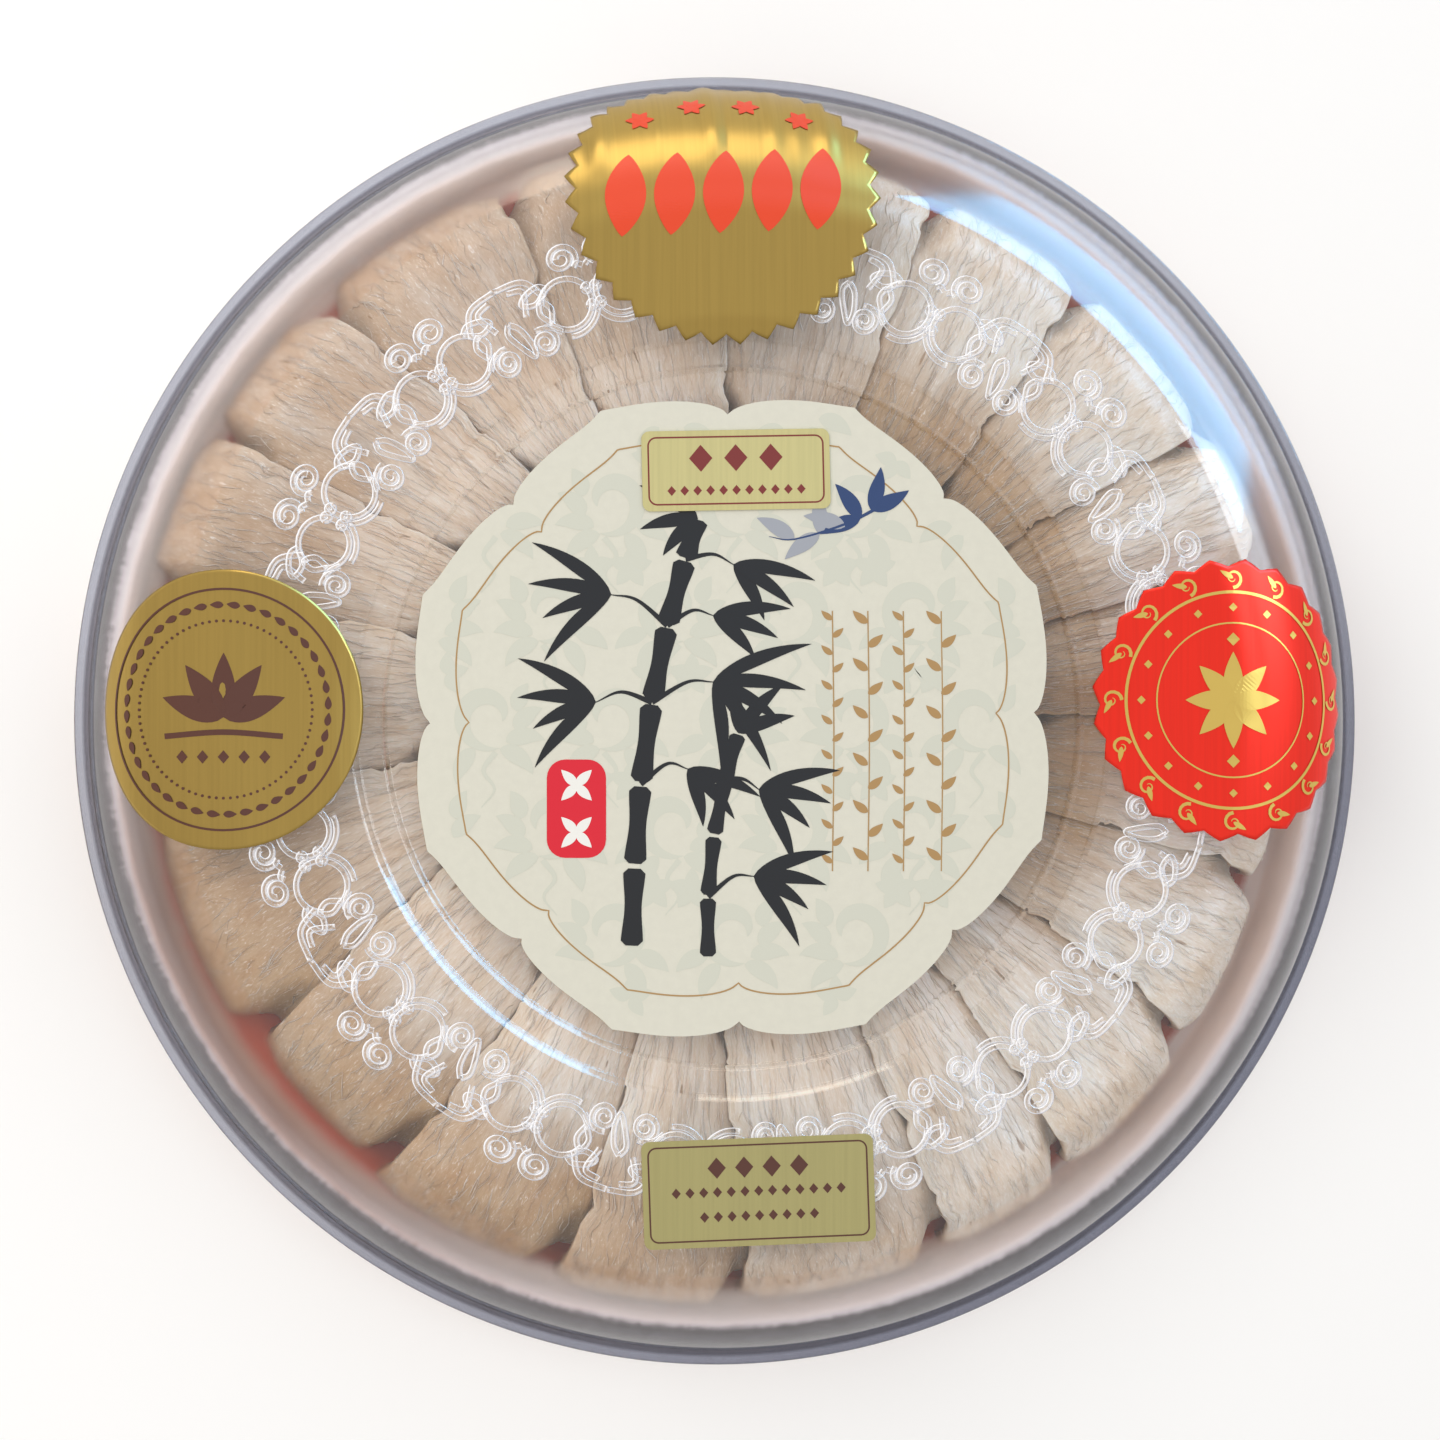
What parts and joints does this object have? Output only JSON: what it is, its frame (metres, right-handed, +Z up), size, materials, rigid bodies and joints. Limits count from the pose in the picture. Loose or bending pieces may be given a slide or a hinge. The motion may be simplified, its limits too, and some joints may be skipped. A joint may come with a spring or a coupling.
{
  "type": "boxed edible birds nests",
  "caption": "Round clear plastic box with a red liner, holding whole edible birds nests laid overlapping in a ring under a label card and foil seals.",
  "frame": {"origin": "middle of the base's underside", "axes": "+Z up out of the lid; +X to the red seal, which is on the right as the label is read; +Y to its top"},
  "size_m": [0.256, 0.256, 0.0449],
  "materials": {
    "clear_base": "clear smooth polystyrene",
    "clear_lid": "clear glossy polystyrene with a moulded scroll ornament",
    "liner": "matt red card",
    "nest": "dried hardened strands, ivory to amber, slightly translucent",
    "label_card": "printed cream card",
    "gold_foil": "satin gold foil",
    "red_foil": "glossy red foil with gold print"
  },
  "bodies": {
    "root": {"base": "clear_base", "liner": "liner", "liner_strip": "liner", "nest_01": "nest", "nest_02": "nest", "nest_03": "nest", "nest_04": "nest", "nest_05": "nest", "nest_06": "nest", "nest_07": "nest", "nest_08": "nest", "nest_09": "nest", "nest_10": "nest", "nest_11": "nest", "nest_12": "nest", "nest_13": "nest", "nest_14": "nest", "nest_15": "nest", "nest_16": "nest", "nest_17": "nest", "nest_18": "nest", "nest_19": "nest", "lid": "clear_lid", "label": "label_card", "label_plate": "gold_foil", "tip_plate": "gold_foil", "top_seal": "gold_foil", "left_seal": "gold_foil", "right_seal": "red_foil"}
  },
  "joints": []
}
